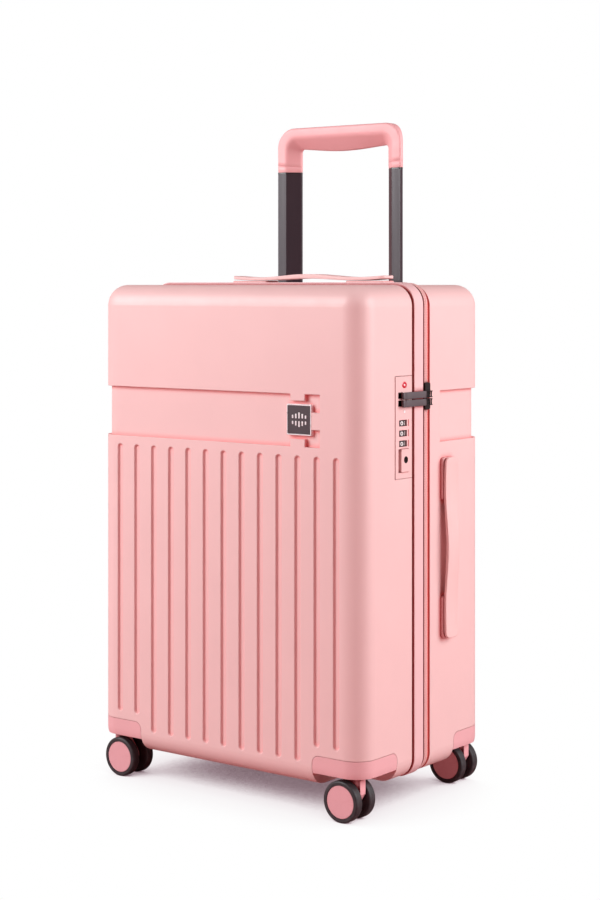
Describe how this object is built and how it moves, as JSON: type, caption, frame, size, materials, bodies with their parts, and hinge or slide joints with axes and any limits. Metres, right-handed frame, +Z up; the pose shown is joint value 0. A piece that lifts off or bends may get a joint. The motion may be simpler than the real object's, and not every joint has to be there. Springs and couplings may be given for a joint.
{
  "type": "suitcase",
  "caption": "Hard shell travel suitcase on twin-wheel casters: zipped front half opens on a side hinge, number lock, carry handles and telescopic trolley handle.",
  "frame": {"origin": "on the floor, under the middle of the shell", "axes": "+Z up, +X towards the side with the lock and the side handle, +Y towards the rear, where the trolley handle is"},
  "size_m": [0.4583, 0.276, 0.868],
  "materials": {
    "shell_plastic": "moulded polycarbonate, fine satin grain",
    "trim_plastic": "moulded plastic, satin",
    "handle_plastic": "moulded plastic, satin",
    "strap_rubber": "soft-touch moulded strap",
    "grip_plastic": "soft-touch moulded grip",
    "button_plastic": "moulded button",
    "lock_plastic": "moulded plastic, satin",
    "lock_inner": "dark moulded housing",
    "dial_plastic": "black dial, white digits",
    "reset_white": "white pin",
    "key_metal": "black",
    "zip_metal": "black painted zinc",
    "pull_plastic": "dark grey moulding",
    "zip_fabric": "woven pink tape",
    "gasket_rubber": "near black",
    "badge_metal": "bright rim",
    "badge_face": "dark plum, satin",
    "lining_fabric": "woven polyester lining",
    "webbing": "dark webbing",
    "buckle_plastic": "black moulding",
    "tube_plum": "plum anodised, satin",
    "tube_bare": "mill finish",
    "pin_steel": "zinc plated",
    "fork_plastic": "moulded nylon",
    "hub_plastic": "moulded nylon",
    "tyre_rubber": "black polyurethane"
  },
  "bodies": {
    "base": {"back_shell": "shell_plastic", "rear_brackets": "trim_plastic", "rear_swivel_pins": "pin_steel", "trolley_bezel": "trim_plastic", "guide_tubes": "tube_bare", "back_zip_tape": "zip_fabric", "top_handle_mounts": "handle_plastic", "top_handle_strap": "strap_rubber", "side_handle_mounts": "handle_plastic", "side_handle_strap": "strap_rubber", "back_lining": "lining_fabric", "compression_straps": "webbing", "strap_buckle": "buckle_plastic", "fabric_hinge": "zip_fabric"},
    "lid": {"front_shell": "shell_plastic", "front_brackets": "trim_plastic", "front_swivel_pins": "pin_steel", "frame_trim": "trim_plastic", "seam_gasket": "gasket_rubber", "front_zip_tape": "zip_fabric", "badge_rim": "badge_metal", "badge_plate": "badge_face", "lock_plate": "lock_plastic", "lock_case": "lock_inner", "front_lining": "lining_fabric"},
    "trolley_middle": {"middle_tubes": "tube_plum"},
    "trolley_upper": {"upper_tubes": "tube_plum", "trolley_grip": "grip_plastic"},
    "trolley_release": {"release_button": "button_plastic", "push_rods": "tube_bare"},
    "lock_push": {"lock_button": "lock_plastic"},
    "lock_key": {"key_cylinder": "key_metal"},
    "lock_reset": {"reset_pin": "reset_white"},
    "dial_1": {"lock_dial_1": "dial_plastic"},
    "dial_2": {"lock_dial_2": "dial_plastic"},
    "dial_3": {"lock_dial_3": "dial_plastic"},
    "slider_upper": {"zip_slider_upper": "zip_metal"},
    "slider_lower": {"zip_slider_lower": "zip_metal"},
    "pull_upper": {"zip_pull_upper": "pull_plastic"},
    "pull_lower": {"zip_pull_lower": "pull_plastic"},
    "caster_front_left": {"caster_front_left_fork": "fork_plastic"},
    "wheel_front_left_1": {"caster_front_left_hub_1": "hub_plastic", "caster_front_left_tyre_1": "tyre_rubber"},
    "wheel_front_left_2": {"caster_front_left_hub_2": "hub_plastic", "caster_front_left_tyre_2": "tyre_rubber"},
    "caster_front_right": {"caster_front_right_fork": "fork_plastic"},
    "wheel_front_right_1": {"caster_front_right_hub_1": "hub_plastic", "caster_front_right_tyre_1": "tyre_rubber"},
    "wheel_front_right_2": {"caster_front_right_hub_2": "hub_plastic", "caster_front_right_tyre_2": "tyre_rubber"},
    "caster_rear_left": {"caster_rear_left_fork": "fork_plastic"},
    "wheel_rear_left_1": {"caster_rear_left_hub_1": "hub_plastic", "caster_rear_left_tyre_1": "tyre_rubber"},
    "wheel_rear_left_2": {"caster_rear_left_hub_2": "hub_plastic", "caster_rear_left_tyre_2": "tyre_rubber"},
    "caster_rear_right": {"caster_rear_right_fork": "fork_plastic"},
    "wheel_rear_right_1": {"caster_rear_right_hub_1": "hub_plastic", "caster_rear_right_tyre_1": "tyre_rubber"},
    "wheel_rear_right_2": {"caster_rear_right_hub_2": "hub_plastic", "caster_rear_right_tyre_2": "tyre_rubber"}
  },
  "joints": [
    {"name": "lid_hinge", "type": "hinge", "parent": "base", "child": "lid", "pos_m": [-0.219, 0.002, 0.345], "axis": [0, 0, -1], "range_deg": [0, 160]},
    {"name": "trolley_middle_slide", "type": "slide", "parent": "base", "child": "trolley_middle", "axis": [0, 0, 1], "range_m": [0, 0.19]},
    {"name": "trolley_upper_slide", "type": "slide", "parent": "trolley_middle", "child": "trolley_upper", "axis": [0, 0, 1], "range_m": [-0.2, 0]},
    {"name": "trolley_release_press", "type": "slide", "parent": "trolley_upper", "child": "trolley_release", "axis": [0, 0, -1], "range_m": [0, 0.003], "stiffness_N_per_m": 800, "springref_m": -0.004},
    {"name": "lock_push_press", "type": "slide", "parent": "lid", "child": "lock_push", "axis": [-1, 0, 0], "range_m": [0, 0.002], "stiffness_N_per_m": 500, "springref_m": -0.001},
    {"name": "lock_key_turn", "type": "hinge", "parent": "lock_push", "child": "lock_key", "pos_m": [0.215, -0.0465, 0.4345], "axis": [1, 0, 0], "range_deg": [0, 90]},
    {"name": "lock_reset_press", "type": "slide", "parent": "lid", "child": "lock_reset", "axis": [-1, 0, 0], "range_m": [0, 0.0015], "stiffness_N_per_m": 300, "springref_m": -0.001},
    {"name": "slider_upper_slide", "type": "slide", "parent": "lid", "child": "slider_upper", "axis": [0, 0, 1], "range_m": [0, 0.08]},
    {"name": "slider_lower_slide", "type": "slide", "parent": "lid", "child": "slider_lower", "axis": [0, 0, -1], "range_m": [0, 0.38]},
    {"name": "dial_1_turn", "type": "hinge", "parent": "lid", "child": "dial_1", "pos_m": [0.206, -0.051, 0.4545], "axis": [0, 0, 1], "continuous": true},
    {"name": "dial_2_turn", "type": "hinge", "parent": "lid", "child": "dial_2", "pos_m": [0.206, -0.051, 0.46715], "axis": [0, 0, 1], "continuous": true},
    {"name": "dial_3_turn", "type": "hinge", "parent": "lid", "child": "dial_3", "pos_m": [0.206, -0.051, 0.4798], "axis": [0, 0, 1], "continuous": true},
    {"name": "pull_upper_lift", "type": "hinge", "parent": "slider_upper", "child": "pull_upper", "pos_m": [0.2196, 0.0052, 0.5135], "axis": [0, 0, 1], "range_deg": [0, 150]},
    {"name": "pull_lower_lift", "type": "hinge", "parent": "slider_lower", "child": "pull_lower", "pos_m": [0.2196, 0.0052, 0.5038], "axis": [0, 0, 1], "range_deg": [0, 150]},
    {"name": "caster_front_left_swivel", "type": "hinge", "parent": "lid", "child": "caster_front_left", "pos_m": [-0.193, -0.116, 0.05], "axis": [0, 0, 1], "continuous": true},
    {"name": "wheel_front_left_1_spin", "type": "hinge", "parent": "caster_front_left", "child": "wheel_front_left_1", "pos_m": [-0.181, -0.116, 0.0255], "axis": [0, 1, 0], "continuous": true},
    {"name": "wheel_front_left_2_spin", "type": "hinge", "parent": "caster_front_left", "child": "wheel_front_left_2", "pos_m": [-0.181, -0.116, 0.0255], "axis": [0, 1, 0], "continuous": true},
    {"name": "caster_front_right_swivel", "type": "hinge", "parent": "lid", "child": "caster_front_right", "pos_m": [0.193, -0.116, 0.05], "axis": [0, 0, 1], "continuous": true},
    {"name": "wheel_front_right_1_spin", "type": "hinge", "parent": "caster_front_right", "child": "wheel_front_right_1", "pos_m": [0.181, -0.116, 0.0255], "axis": [0, 1, 0], "continuous": true},
    {"name": "wheel_front_right_2_spin", "type": "hinge", "parent": "caster_front_right", "child": "wheel_front_right_2", "pos_m": [0.181, -0.116, 0.0255], "axis": [0, 1, 0], "continuous": true},
    {"name": "caster_rear_left_swivel", "type": "hinge", "parent": "base", "child": "caster_rear_left", "pos_m": [-0.193, 0.116, 0.05], "axis": [0, 0, 1], "continuous": true},
    {"name": "wheel_rear_left_1_spin", "type": "hinge", "parent": "caster_rear_left", "child": "wheel_rear_left_1", "pos_m": [-0.205, 0.116, 0.0255], "axis": [0, 1, 0], "continuous": true},
    {"name": "wheel_rear_left_2_spin", "type": "hinge", "parent": "caster_rear_left", "child": "wheel_rear_left_2", "pos_m": [-0.205, 0.116, 0.0255], "axis": [0, 1, 0], "continuous": true},
    {"name": "caster_rear_right_swivel", "type": "hinge", "parent": "base", "child": "caster_rear_right", "pos_m": [0.193, 0.116, 0.05], "axis": [0, 0, 1], "continuous": true},
    {"name": "wheel_rear_right_1_spin", "type": "hinge", "parent": "caster_rear_right", "child": "wheel_rear_right_1", "pos_m": [0.181, 0.116, 0.0255], "axis": [0, 1, 0], "continuous": true},
    {"name": "wheel_rear_right_2_spin", "type": "hinge", "parent": "caster_rear_right", "child": "wheel_rear_right_2", "pos_m": [0.181, 0.116, 0.0255], "axis": [0, 1, 0], "continuous": true}
  ]
}
